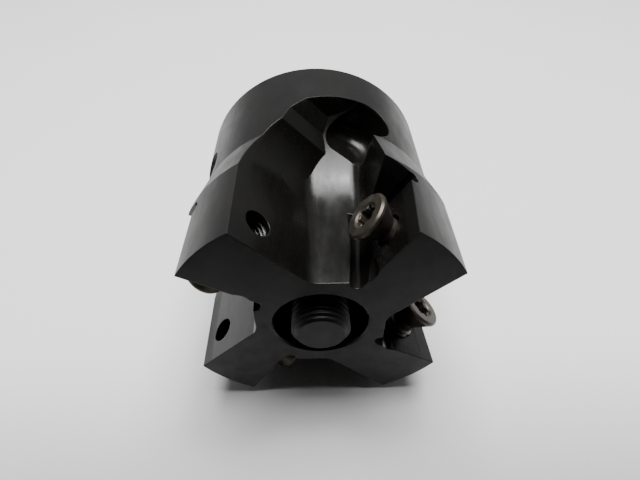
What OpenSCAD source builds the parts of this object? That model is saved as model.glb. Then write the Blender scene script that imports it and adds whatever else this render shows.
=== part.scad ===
// Shell-type face mill, lying on its side: the cutter axis is Y, the cutting face looks
// towards -Y, and the origin is the centre of the arbor bore in the rear mounting face.

/* [Body] */
// Diameter over the four teeth, without inserts
tooth_od = 48.3; // [47.5:0.1:50]
// Diameter of the rear hub
hub_d = 44.45; // [43.5:0.05:45]
// Length from the rear mounting face to the cutting face
body_len = 44.45; // [44:0.05:47]
// Length of the cylindrical tooth ring behind the cutting face
ring_len = 15; // [14:0.1:16]
// Distance from the cutting face to where the cone meets the hub
cone_end = 23.8; // [22:0.1:26]
// Chamfer on the rear rim of the hub
rim_chamfer = 0.6; // [0.2:0.1:1]

/* [Bores] */
// Diameter of the arbor pilot bore
arbor_d = 19.05; // [18:0.05:20]
// Length of the ground land at the mouth of the pilot bore
land_len = 11; // [9:0.5:11]
// Diameter of the relieved bore behind the land
relief_d = 20; // [19.6:0.1:21]
// Depth of the relieved bore, down to the web
bore_depth = 21; // [20.8:0.1:21.4]
// Diameter of the counterbore in the cutting face
counterbore_d = 15.3; // [15:0.1:15.8]
// Depth of the counterbore in the cutting face
counterbore_depth = 13.45; // [12:0.05:14]
// Diameter of the lock screw's clearance hole in the web
web_hole_d = 10.2; // [10:0.1:10.6]
// Width of the drive keyway across the rear face
key_w = 7.95; // [6:0.05:10]
// Depth of the drive keyway
key_depth = 4.8; // [3:0.1:5.5]

/* [Gullets] */
// Distance of each tooth's flat back from the tooth's centre line
back_offset = 6.32; // [6:0.02:6.8]
// Height of the gullet floor above the cutter axis
floor_height = 10.4; // [10.2:0.05:10.8]
// Distance from the cutting face to where the floor starts to rise
rise_start = 14.5; // [13:0.1:16]
// Radius of the rising floor, seen from the side
rise_r = 24; // [20:0.5:24]
// Radius between the floor and the flat back of the tooth
back_fillet_r = 3; // [2:0.1:3.5]
// Radius between the floor and the wall behind the seat
wall_fillet_r = 2.5; // [1.5:0.1:3]
// Angle of the wall behind the seat, from the floor
wall_angle = 78; // [76:0.5:80]
// Radius of the cutter runout behind the flat back
runout_r = 12.4; // [12:0.1:12.8]
// Radius of the round pocket at the rear end of the gullet
end_r = 5.1; // [4.8:0.05:5.3]

/* [Insert seats] */
// Turn of the seat from the tooth's centre line
seat_turn = 13.7; // [12:0.1:15]
// Axial rake of the seat
axial_rake = 5.9; // [4:0.1:7]
// Distance of the seat plane below the cutter's radius line
seat_drop = 0.3; // [0.1:0.05:0.5]
// Length of the seat along the cutter
seat_len = 13.9; // [13:0.1:14.5]
// Distance of the seat's inner edge from the axis
seat_inner = 11.4; // [11:0.1:12]
// Lean of the wall at the rear of the seat
stop_lean = 16; // [10:0.5:20]
// Radius of the relief grooves along the seat
relief_r = 1.1; // [0.8:0.05:1.2]

/* [Clamp screws] */
// Thread diameter
clamp_d = 5; // [4.8:0.1:5.2]
// Thread pitch
clamp_pitch = 0.8; // [0.7:0.05:0.9]
// Length from the top of the head to the tip
clamp_len = 12; // [11:0.1:12.5]
// Diameter of the head
clamp_head_d = 7.6; // [7:0.1:7.8]
// Included angle of the cone under the head
clamp_cone = 55; // [50:1:60]
// Diameter over the lobes of the drive recess
drive_d = 3.86; // [3.5:0.02:4]
// Depth of the drive recess
drive_depth = 1.9; // [1.5:0.1:2.1]

/* [Arbor screw] */
// Thread diameter
lock_d = 9.525; // [9:0.005:9.8]
// Thread pitch
lock_pitch = 1.058; // [1:0.001:1.25]
// Length under the head
lock_len = 25.4; // [24.5:0.1:26]
// Diameter of the head
lock_head_d = 14.29; // [13.5:0.01:14.8]
// Height of the head
lock_head_h = 9.525; // [9:0.005:9.6]
// Width across the flats of the hexagon socket
socket_w = 7.94; // [6:0.01:8]

/* [Hidden] */

$fn = 96;
steel_black = [0.13, 0.13, 0.13];
steel_screw = [0.42, 0.40, 0.37];
teeth = 4;
pitch_angle = 360 / teeth;
first_tooth = 45;
tooth_r = tooth_od / 2;
hub_r = hub_d / 2;
over = 2;
reach = tooth_od;
edge_chamfer = 0.3;
overlap = 0.01;

// Stations are distances behind the cutting face
gullet_end = 33.3;
runout_start = 17.4;
// Gullet floor: foot of the right wall, centre of the left fillet, slope of its left side
wall_x = 7.75;
fillet_x = -0.25;
back_angle = 138;
// Direction and floor of the round pocket, and the radius around its floor
end_angle = 68.2;
end_floor = 14.5;
end_nose = 2.5;

// Seat frame values: how far the seat cut runs out in front and away from the seat
seat_front = 6;
seat_depth = 5;
relief_lift = 0.8;
groove_drop = 0.35;
groove_step = 1;

// Threads are stacks of rings, so that a screw turns in its hole without touching it
thread_flat = 0.05;
thread_gap = 0.1;
thread_depth = 0.45;
thread_slope = tan(30);
thread_end = 10 * clamp_pitch;
mouth_start = thread_end + clamp_pitch / 2;
hole_len = 12;
neck_len = 0.6;
tip_chamfer = 0.4;
rim_h = 0.7;
rim_round = 0.3;
mouth_flare = 0.6;
lobe_share = 0.11;
web_share = 0.76;
lock_flat = 0.08;
lock_thread_depth = 0.55;
socket_depth = 4.8;
head_chamfer = 0.6;

// Where a clamp screw's axis leaves the back of its tooth: along the tooth's centre line,
// and its station
exit_along = 18.6;
exit_station = 5.3;
// Lean of the clamp screw towards the cutter axis and towards the hub
lean_in = 6.5;
lean_back = 6;
// Distance from the back of the tooth to the rim of the head, a whole number of pitches
head_stand = 17 * clamp_pitch;
// Turns by which each clamp screw is backed out further than the first one
backed_out = [0, 2, 1, 2];

// Cutter frame: axis along Z, rear face at 0, cutting face at body_len
module on_cutter() {
    rotate([90, 0, 0]) children();
}

// Seat frame: X runs outwards along the seat, Y leaves it, Z runs to the cutting face
module on_seat() {
    translate([0, 0, body_len])
        rotate([0, 0, first_tooth + seat_turn])
            rotate([-axial_rake, 0, 0])
                children();
}

// Screw frame: Z runs along the clamp screw from the back of the tooth to the head
module on_screw_axis() {
    rotate([0, 0, first_tooth])
        translate([exit_along, -back_offset, body_len - exit_station])
            rotate([0, 0, lean_in])
                rotate([-90 - lean_back, 0, 0])
                    children();
}

// What a corner between two edges that leave it at angles a and b keeps when it is rounded
module corner(at, a, b, r) {
    half = (b - a) / 2;
    side = r / tan(half);
    centre = at + r / sin(half) * [cos(a + half), sin(a + half)];
    difference() {
        polygon([at, at + side * [cos(a), sin(a)], centre, at + side * [cos(b), sin(b)]]);
        translate(centre) circle(r = r);
    }
}

// Turned blank: hub, cone and tooth ring
module blank() {
    rotate_extrude()
        polygon([[0, 0], [hub_r - rim_chamfer, 0], [hub_r, rim_chamfer],
            [hub_r, body_len - cone_end], [tooth_r, body_len - ring_len],
            [tooth_r, body_len], [0, body_len]]);
}

// Pilot bore, web hole, counterbore and drive keyway
module bores() {
    translate([0, 0, -over]) cylinder(d = arbor_d, h = over + land_len + overlap);
    translate([0, 0, -overlap])
        cylinder(d1 = arbor_d + 2 * edge_chamfer, d2 = arbor_d, h = edge_chamfer);
    translate([0, 0, land_len]) cylinder(d = relief_d, h = bore_depth - land_len);
    cylinder(d = web_hole_d, h = body_len);
    translate([0, 0, body_len - counterbore_depth])
        cylinder(d = counterbore_d, h = counterbore_depth + over);
    translate([0, 0, body_len - edge_chamfer])
        cylinder(d1 = counterbore_d, d2 = counterbore_d + 2 * edge_chamfer,
            h = edge_chamfer + overlap);
    translate([-reach / 2, -key_w / 2, -over]) cube([reach, key_w, key_depth + over]);
}

// Side of the gullet that makes the flat back of a tooth and its facetted runout:
// X is the distance from that tooth's centre line, Y is the station
module back_outline() {
    translate([back_offset, -over]) square([reach, runout_start + over]);
    translate([back_offset + runout_r, runout_start]) circle(r = runout_r);
    polygon([[11, 27], [12.3, 30.1], [14.6, 32.4], [18.4, gullet_end],
        [reach, gullet_end], [reach, runout_start], [back_offset + runout_r, runout_start]]);
}

// Cross-section of the gullet over its floor: X to the right, Y away from the cutter axis
module floor_outline() {
    top = floor_height + rise_r - over;
    rise = top - floor_height;
    right = [wall_x, floor_height];
    left = [fillet_x - back_fillet_r / tan(back_angle / 2), floor_height];
    difference() {
        polygon([left, right, [wall_x + rise / tan(wall_angle), top],
            [left.x + rise / tan(back_angle), top]]);
        corner(right, wall_angle, 180, wall_fillet_r);
        corner(left, 0, back_angle, back_fillet_r);
    }
}

// Straight floor that rises in an arc towards the hub
module floor_sweep() {
    translate([0, 0, body_len - rise_start])
        linear_extrude(height = rise_start + over) floor_outline();
    translate([0, floor_height + rise_r, body_len - rise_start])
        rotate([-90, 0, 0])
            rotate([0, 90, 0])
                rotate_extrude(angle = 90)
                    translate([floor_height + rise_r, 0]) rotate(90) floor_outline();
}

// Round pocket that the cutter leaves at the rear end of the gullet
module end_pocket() {
    rotate([0, 0, end_angle])
        translate([end_floor, 0, body_len - gullet_end + end_r])
            rotate([0, 90, 0])
                rotate_extrude() {
                    square([end_r - end_nose, reach]);
                    translate([0, end_nose]) square([end_r, reach]);
                    translate([end_r - end_nose, end_nose]) intersection() {
                        circle(r = end_nose);
                        translate([-end_nose / 2, -end_nose]) square(2 * end_nose);
                    }
                }
}

// Seat of an insert with its leaning stop wall and the two relief grooves
module seat() {
    on_seat() {
        translate([seat_inner, 0, 0])
            rotate([90, 0, 90])
                linear_extrude(height = reach)
                    polygon([[-seat_drop, seat_front], [-seat_drop, -seat_len],
                        [seat_depth, -seat_len - (seat_depth + seat_drop) * tan(stop_lean)],
                        [seat_depth, seat_front]]);
        translate([seat_inner, relief_lift, -seat_len])
            cylinder(r = relief_r, h = seat_len + seat_front);
        translate([seat_inner, -seat_drop - groove_drop, groove_step - seat_len])
            rotate([0, 90, 0]) cylinder(r = relief_r, h = reach);
    }
}

module gullet() {
    intersection() {
        floor_sweep();
        rotate([0, 0, first_tooth])
            translate([0, 0, body_len])
                rotate([-90, 0, 0])
                    linear_extrude(height = reach) back_outline();
    }
    end_pocket();
    seat();
}

// Radius outline of a stack of thread rings from z1 to z2, over a core of radius root
function ring_points(z1, z2, pitch, root, crest, flat) = [
    for (z = [z1 : pitch : z2]) for (p = [
        [root, z - flat - (crest - root) * thread_slope], [crest, z - flat],
        [crest, z + flat], [root, z + flat + (crest - root) * thread_slope]]) p];

// Tapped hole of a clamp screw, from the back of the tooth to the seat
module tapped_hole() {
    core = clamp_d / 2 - thread_depth + thread_gap;
    mouth = clamp_d / 2 + thread_gap;
    rotate_extrude()
        polygon(concat([[0, -over], [core, -over]],
            ring_points(2 * clamp_pitch, thread_end, clamp_pitch, core,
                clamp_d / 2 + thread_gap / 2, thread_flat + thread_gap / 2),
            [[core, mouth_start], [mouth, mouth_start], [mouth, hole_len], [0, hole_len]]));
}

// Socket with six round lobes
module lobed_socket() {
    lobe_r = drive_d * lobe_share;
    inner_d = drive_d * web_share;
    linear_extrude(height = drive_depth + over) {
        circle(d = inner_d);
        for (i = [0:5]) rotate(60 * i) translate([drive_d / 2 - lobe_r, 0]) circle(r = lobe_r);
    }
}

// Clamp screw in the screw frame, its rim at z = 0 and its tip towards -z
module clamp_screw(turns) {
    head_r = clamp_head_d / 2;
    neck = clamp_d / 2;
    cone_h = (head_r - neck) / tan(clamp_cone / 2);
    root = neck - thread_depth;
    tip = -clamp_len + rim_h;
    // the rings of the screw stand in those of the hole
    first_ring = ceil((head_stand + tip + tip_chamfer) / clamp_pitch) * clamp_pitch - head_stand;
    last_ring = -cone_h - 2 * clamp_pitch;
    on_screw_axis() translate([0, 0, head_stand + turns * clamp_pitch]) difference() {
        rotate_extrude()
            polygon(concat([[0, tip], [root - tip_chamfer, tip], [root, tip + tip_chamfer]],
                ring_points(first_ring, last_ring, clamp_pitch, root, neck, thread_flat),
                [[root, -cone_h - neck_len], [neck - thread_gap, -cone_h], [head_r, 0],
                [head_r, rim_h - rim_round], [head_r - rim_round, rim_h], [0, rim_h]]));
        translate([0, 0, rim_h - drive_depth]) lobed_socket();
        translate([0, 0, rim_h - rim_round])
            cylinder(d1 = drive_d - thread_gap, d2 = drive_d + mouth_flare, h = rim_round + overlap);
    }
}

module cutter_body() {
    color(steel_black) on_cutter() difference() {
        blank();
        bores();
        for (i = [0 : teeth - 1]) rotate([0, 0, i * pitch_angle]) {
            gullet();
            on_screw_axis() tapped_hole();
        }
    }
}

// One of the clamp screws, counted from the upper right tooth as seen from the cutting face
module placed_clamp_screw(i) {
    color(steel_screw) on_cutter() rotate([0, 0, i * pitch_angle]) clamp_screw(backed_out[i]);
}

// Arbor lock screw, kept in the cutter head to the rear with its tip out of the front
module arbor_screw() {
    web_z = bore_depth;
    r = lock_d / 2;
    root = r - lock_thread_depth;
    tip = web_z + lock_len;
    head_r = lock_head_d / 2;
    head_z = web_z - lock_head_h;
    color(steel_black) on_cutter() difference() {
        rotate_extrude()
            polygon(concat([[0, head_z], [head_r - head_chamfer, head_z],
                [head_r, head_z + head_chamfer], [head_r, web_z], [r, web_z]],
                ring_points(web_z + 2 * lock_pitch, tip - lock_pitch, lock_pitch, root, r, lock_flat),
                [[root, tip - tip_chamfer], [root - tip_chamfer, tip], [0, tip]]));
        translate([0, 0, head_z - overlap])
            rotate(30) cylinder(d = socket_w / cos(30), h = socket_depth, $fn = 6);
        translate([0, 0, head_z - overlap])
            cylinder(d1 = socket_w / cos(30) + tip_chamfer, d2 = socket_w, h = head_chamfer);
    }
}

cutter_body();
placed_clamp_screw(0);  // clamp_screw_1
placed_clamp_screw(1);  // clamp_screw_2
placed_clamp_screw(2);  // clamp_screw_3
placed_clamp_screw(3);  // clamp_screw_4
arbor_screw();
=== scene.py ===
"""Looks of the face mill: a black-oxide cutter head, its clamp screws and the arbor screw.

The cutter lies along Y with its cutting face towards -Y. Lengths are in metres, colours are
linear, and the noise scales of tool marks and grain are per metre.
"""
import math

import bpy
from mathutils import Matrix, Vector


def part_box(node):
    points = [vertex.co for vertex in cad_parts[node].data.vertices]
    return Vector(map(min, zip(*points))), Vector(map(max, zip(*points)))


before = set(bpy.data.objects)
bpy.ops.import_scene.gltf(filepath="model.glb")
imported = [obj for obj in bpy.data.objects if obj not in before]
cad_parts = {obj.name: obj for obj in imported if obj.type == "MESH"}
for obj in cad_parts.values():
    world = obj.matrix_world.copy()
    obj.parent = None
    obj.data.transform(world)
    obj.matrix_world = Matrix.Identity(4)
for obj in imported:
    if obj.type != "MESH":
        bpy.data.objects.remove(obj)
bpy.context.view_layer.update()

MM = 0.001

# Places taken from the frame
low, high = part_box("cutter_body")
face_y = low.y
rear_y = high.y
rest_z = low.z
face_centre = Vector((0, face_y, 0))
middle = Vector((0, (face_y + rear_y) / 2, 0))


def rgb(r, g, b):
    return (r, g, b, 1.0)


# ---------------------------------------------------------------- shader graph helper
class Graph:
    """A Principled material and short ways to add nodes to it."""

    def __init__(self, name):
        self.material = bpy.data.materials.new(name)
        self.material.use_nodes = True
        self.tree = self.material.node_tree
        self.tree.nodes.clear()
        self.shader = self.add("ShaderNodeBsdfPrincipled")
        output = self.add("ShaderNodeOutputMaterial")
        self.tree.links.new(self.shader.outputs[0], output.inputs[0])
        self.place = self.add("ShaderNodeTexCoord").outputs["Object"]

    def add(self, kind, inputs=None, **settings):
        """A node with its settings, its inputs set to numbers or linked to sockets."""
        node = self.tree.nodes.new(kind)
        for key, value in settings.items():
            setattr(node, key, value)
        for key, value in (inputs or {}).items():
            self.put(node.inputs[key], value)
        return node

    def put(self, socket, value):
        if isinstance(value, bpy.types.NodeSocket):
            self.tree.links.new(value, socket)
        else:
            socket.default_value = value

    def math(self, operation, *values):
        inputs = dict(enumerate(values))
        return self.add("ShaderNodeMath", inputs, operation=operation).outputs[0]

    def times(self, a, b):
        return self.math("MULTIPLY", a, b)

    def vector(self, operation, *values):
        node = self.add("ShaderNodeVectorMath", dict(enumerate(values)), operation=operation)
        return node.outputs["Value" if operation == "DOT_PRODUCT" else "Vector"]

    def split(self, vector):
        return self.add("ShaderNodeSeparateXYZ", {0: vector}).outputs

    def join(self, x, y, z):
        return self.add("ShaderNodeCombineXYZ", {0: x, 1: y, 2: z}).outputs[0]

    def axis_distance(self, x, z):
        """Distance from the cutter's axis, the length of (x, z)."""
        return self.math("SQRT", self.math("ADD", self.times(x, x), self.times(z, z)))

    def noise(self, vector, scale, detail=3.0, roughness=0.55):
        inputs = {"Vector": vector, "Scale": scale, "Detail": detail, "Roughness": roughness}
        return self.add("ShaderNodeTexNoise", inputs).outputs["Fac"]

    def fit(self, value, low_in, high_in, low_out=0.0, high_out=1.0):
        """Maps low_in..high_in to low_out..high_out, and clamps."""
        inputs = {"Value": value, "From Min": low_in, "From Max": high_in,
                  "To Min": low_out, "To Max": high_out}
        return self.add("ShaderNodeMapRange", inputs).outputs[0]

    def mix(self, factor, a, b):
        """Colour a where the factor is 0, b where it is 1."""
        node = self.add("ShaderNodeMix", data_type="RGBA")
        for key, value in zip((0, 6, 7), (factor, a, b)):
            self.put(node.inputs[key], value)
        return node.outputs[2]

    def blend(self, factor, a, b):
        """Number a where the factor is 0, b where it is 1."""
        node = self.add("ShaderNodeMix", data_type="FLOAT")
        for key, value in zip((0, 2, 3), (factor, a, b)):
            self.put(node.inputs[key], value)
        return node.outputs[0]

    def bump(self, height, strength, distance, normal):
        inputs = {"Height": height, "Strength": strength, "Distance": distance, "Normal": normal}
        return self.add("ShaderNodeBump", inputs).outputs[0]

    def edge(self, radius):
        """(rounded normal, mask that is 1 on edges)."""
        facing_flat, facing_edge = 0.985, 0.86
        rounded = self.add("ShaderNodeBevel", {"Radius": radius}, samples=8).outputs[0]
        flat = self.add("ShaderNodeNewGeometry").outputs["Normal"]
        facing = self.vector("DOT_PRODUCT", rounded, flat)
        return rounded, self.fit(facing, facing_flat, facing_edge)

    def openness(self, distance):
        """1 where nothing is near, 0 deep in a corner."""
        inputs = {"Distance": distance}
        return self.add("ShaderNodeAmbientOcclusion", inputs, samples=8).outputs["AO"]

    def finish(self, **sockets):
        """The material, with the named sockets of its shader set."""
        for key, value in sockets.items():
            self.put(self.shader.inputs[key.replace("_", " ")], value)
        return self.material


# ---------------------------------------------------------------- materials
def black_oxide():
    """Black oxide over turned and milled steel: oily dark film, worn bright on its edges."""
    film_black, film_brown = rgb(0.0030, 0.0030, 0.0029), rgb(0.0055, 0.0050, 0.0044)
    film_milled, film_face = rgb(0.0030, 0.0028, 0.0020), rgb(0.0012, 0.0012, 0.0012)
    speck_dust, bare_steel = rgb(0.020, 0.017, 0.013), rgb(0.06, 0.055, 0.05)
    rings_per_m, rings_fade, strokes_across, strokes_along = 9000.0, 1.5, 5200.0, 160.0
    smear_stretch = (1.0, 0.35, 1.0)
    edge_radius, corner_reach, mark_depth = 0.22 * MM, 1.2 * MM, 0.02 * MM
    milled_from, turned_from = 21.6 * MM, 22.0 * MM
    side_facing, face_facing, face_depth = -0.97, -0.995, 0.2 * MM
    film_ior = 1.34

    # where the surface is turned skin, cutting face, or milled gullet
    g = Graph("black_oxide")
    x, y, z = g.split(g.place)
    facing_y = g.split(g.add("ShaderNodeNewGeometry").outputs["Normal"])["Y"]
    radius = g.axis_distance(x, z)
    on_skin = g.fit(radius, milled_from, turned_from)
    on_face = g.times(g.fit(facing_y, side_facing, face_facing),
                      g.fit(y, face_y + face_depth, face_y))
    milled = g.math("SUBTRACT", 1.0, g.math("MAXIMUM", on_skin, on_face))

    # tool marks: rings around the axis on turned surfaces, long strokes in the gullets
    around = g.times(g.math("ARCTAN2", z, x), rings_fade)
    turned = g.noise(g.join(g.times(radius, rings_per_m), g.times(y, rings_per_m), around),
                     scale=1.0, detail=2.0)
    strokes = g.noise(g.join(g.times(x, strokes_across), g.times(y, strokes_along),
                             g.times(z, strokes_across)), scale=1.0)
    marks = g.blend(milled, turned, strokes)
    cloud = g.noise(g.place, scale=130.0, detail=5.0, roughness=0.6)
    smears = g.noise(g.vector("MULTIPLY", g.place, smear_stretch),
                     scale=420.0, detail=4.0, roughness=0.6)
    specks = g.fit(g.noise(g.place, scale=2600.0, detail=2.0), 0.70, 0.78)

    rounded, edges = g.edge(edge_radius)
    open_air = g.fit(g.openness(corner_reach), 0.55, 0.95)
    patchy_wear = g.fit(cloud, 0.35, 0.65, 0.25, 0.9)
    worn = g.times(g.times(edges, open_air), patchy_wear)

    film = g.mix(g.fit(cloud, 0.35, 0.7), film_black, film_brown)
    film = g.mix(g.times(milled, 0.5), film, film_milled)
    film = g.mix(g.times(on_face, 0.7), film, film_face)
    film = g.mix(g.times(specks, 0.35), film, speck_dust)
    colour = g.mix(g.times(worn, 0.45), film, bare_steel)

    # the cutting face is the dullest surface, the milled gullets are the shiniest
    skin_roughness = g.fit(smears, 0.3, 0.7, 0.34, 0.46)
    face_roughness = g.fit(smears, 0.3, 0.7, 0.42, 0.55)
    milled_roughness = g.fit(smears, 0.3, 0.7, 0.17, 0.34)
    roughness = g.blend(on_face, skin_roughness, face_roughness)
    roughness = g.blend(milled, roughness, milled_roughness)

    height = g.math("ADD", g.times(marks, 0.7), g.times(smears, 0.3))
    normal = g.bump(height, g.blend(milled, 0.35, 0.22), mark_depth, rounded)
    return g.finish(Base_Color=colour, Metallic=g.times(worn, 0.6), Roughness=roughness,
                    IOR=film_ior, Normal=normal)


def bare_screw():
    """Hardened clamp screw, dull warm grey, with painted shade darkening its threads and recess.
    """
    steel_dark, steel_pale = rgb(0.050, 0.042, 0.034), rgb(0.105, 0.094, 0.078)
    # rubbed is edge wear; the dark colour after it is painted shade for the threads and recess
    rubbed, recess_shade_colour = rgb(0.22, 0.205, 0.18), rgb(0.018, 0.015, 0.012)
    edge_radius, recess_shade_reach, grain_depth = 0.12 * MM, 0.9 * MM, 0.012 * MM

    g = Graph("bare_screw")
    cloud = g.noise(g.place, scale=520.0, detail=5.0, roughness=0.6)
    grain = g.noise(g.place, scale=5200.0, detail=2.0)
    rounded, edges = g.edge(edge_radius)
    # painted shade: darker and less metallic where ambient occlusion finds the threads and
    # recess closed in
    recess_shade = g.fit(g.openness(recess_shade_reach), 0.25, 0.85, 1.0, 0.0)
    steel = g.mix(g.fit(cloud, 0.3, 0.7), steel_dark, steel_pale)
    steel = g.mix(g.times(edges, 0.5), steel, rubbed)
    colour = g.mix(g.times(recess_shade, 0.9), steel, recess_shade_colour)
    mottle = g.math("ADD", cloud, g.times(grain, 0.3))
    return g.finish(Base_Color=colour, Metallic=g.fit(recess_shade, 0.0, 1.0, 0.85, 0.2),
                    Roughness=g.fit(mottle, 0.4, 0.9, 0.33, 0.52),
                    Normal=g.bump(grain, 0.25, grain_depth, rounded))


def oxide_screw():
    """Black oxide lock screw: dark, with a rubbed tip and thread crests."""
    film_black, film_brown = rgb(0.0015, 0.0015, 0.0015), rgb(0.0035, 0.0033, 0.003)
    rubbed = rgb(0.16, 0.155, 0.145)
    rings_per_m = 7000.0
    edge_radius, mark_depth = 0.16 * MM, 0.02 * MM
    film_ior = 1.30

    g = Graph("oxide_screw")
    x, y, z = g.split(g.place)
    cloud = g.noise(g.place, scale=380.0, detail=5.0, roughness=0.6)
    rings = g.noise(g.join(g.times(g.axis_distance(x, z), rings_per_m),
                           g.times(y, rings_per_m), 0.0), scale=1.0, detail=2.0)
    rounded, edges = g.edge(edge_radius)
    film = g.mix(g.fit(cloud, 0.3, 0.7), film_black, film_brown)
    worn = g.times(edges, g.fit(cloud, 0.3, 0.65, 0.35, 1.0))
    colour = g.mix(g.times(worn, 0.6), film, rubbed)
    height = g.math("ADD", g.times(rings, 0.6), g.times(cloud, 0.4))
    return g.finish(Base_Color=colour, Metallic=g.times(worn, 0.8),
                    Roughness=g.fit(cloud, 0.3, 0.7, 0.34, 0.5), IOR=film_ior,
                    Normal=g.bump(height, 0.35, mark_depth, rounded))


def pale_table():
    """Matt pale table top with a faint mottle."""
    g = Graph("pale_table")
    mottle = g.noise(g.place, scale=16.0)
    colour = g.mix(mottle, rgb(0.735, 0.725, 0.722), rgb(0.775, 0.766, 0.764))
    return g.finish(Base_Color=colour, Roughness=0.75)


def dark_card():
    """Matt black card."""
    return Graph("dark_card").finish(Base_Color=rgb(0.02, 0.02, 0.02), Roughness=0.9)


def paint(node, material):
    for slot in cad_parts[node].material_slots:
        slot.material = material


# ---------------------------------------------------------------- stage, camera, light
def rectangle(name, half_w, half_d, centre, material):
    """A level rectangle around the point centre."""
    x, y, z = centre
    mesh = bpy.data.meshes.new(name)
    corners = [(x - half_w, y - half_d, z), (x + half_w, y - half_d, z),
               (x + half_w, y + half_d, z), (x - half_w, y + half_d, z)]
    mesh.from_pydata(corners, [], [(0, 1, 2, 3)])
    mesh.materials.append(material)
    piece = bpy.data.objects.new(name, mesh)
    bpy.context.scene.collection.objects.link(piece)
    return piece


def floor():
    """A wide table top under the cutter."""
    half = 3.0
    table = rectangle("table", half, half, (0, 0, rest_z), pale_table())


def card():
    """A dark card over the front of the table, for the shade in front of the cutter.

    The camera doesn't see the card itself.
    """
    half_w, half_d, centre = 0.20, 0.175, (-0.03, face_y - 0.180, 0.062)
    sheet = rectangle("card", half_w, half_d, centre, dark_card())
    sheet.visible_camera = False


def camera():
    """The view from in front and above, looking down at the cutting face."""
    data = bpy.data.cameras.new("camera")
    data.sensor_width = 36.0
    data.lens = 25.42
    data.clip_start = 0.005
    eye = bpy.data.objects.new("camera", data)
    from_face = Vector((-1.3, -41.2, 61.2)) * MM
    eye.location = face_centre + from_face
    pitch, yaw = math.radians(45.4), math.radians(1.63)
    eye.rotation_euler = (math.pi / 2 - pitch, 0, -yaw)
    bpy.context.scene.collection.objects.link(eye)
    bpy.context.scene.camera = eye


def lamp(name, at, size, watts, colour=(1, 1, 1)):
    """A rectangular lamp aimed at the middle of the cutter."""
    data = bpy.data.lights.new(name, "AREA")
    data.shape = "RECTANGLE"
    data.size, data.size_y = size
    data.energy = watts
    data.color = colour
    light = bpy.data.objects.new(name, data)
    light.location = at
    light.rotation_euler = (middle - Vector(at)).to_track_quat("-Z", "Y").to_euler()
    bpy.context.scene.collection.objects.link(light)


def room():
    """A pale room whose brightness grows from the side of the cutting face to the rear."""
    front, back = -0.7, 0.5
    dim, bright = 0.03, 0.42
    world = bpy.data.worlds.new("room")
    world.use_nodes = True
    tree = world.node_tree
    background = tree.nodes["Background"]
    toward = tree.nodes.new("ShaderNodeTexCoord")
    parts = tree.nodes.new("ShaderNodeSeparateXYZ")
    ramp = tree.nodes.new("ShaderNodeMapRange")
    tree.links.new(toward.outputs["Generated"], parts.inputs[0])
    tree.links.new(parts.outputs["Y"], ramp.inputs["Value"])
    limits = {"From Min": front, "From Max": back, "To Min": dim, "To Max": bright}
    for key, value in limits.items():
        ramp.inputs[key].default_value = value
    tree.links.new(ramp.outputs[0], background.inputs["Strength"])
    background.inputs["Color"].default_value = rgb(0.98, 0.99, 1.0)
    bpy.context.scene.world = world


def lights():
    """A wide soft lamp overhead, and a small one beside it for the sharper highlights."""
    lamp("soft", at=(0.02, 0.05, 0.60), size=(0.45, 0.40), watts=10.0)
    lamp("key", at=(0.06, 0.10, 0.58), size=(0.08, 0.08), watts=0.9, colour=(1.0, 0.99, 0.97))


camera()
floor()
card()
room()
lights()
paint("cutter_body", black_oxide())
screw = bare_screw()
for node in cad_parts:
    if node.startswith("clamp_screw"):
        paint(node, screw)
paint("arbor_screw", oxide_screw())
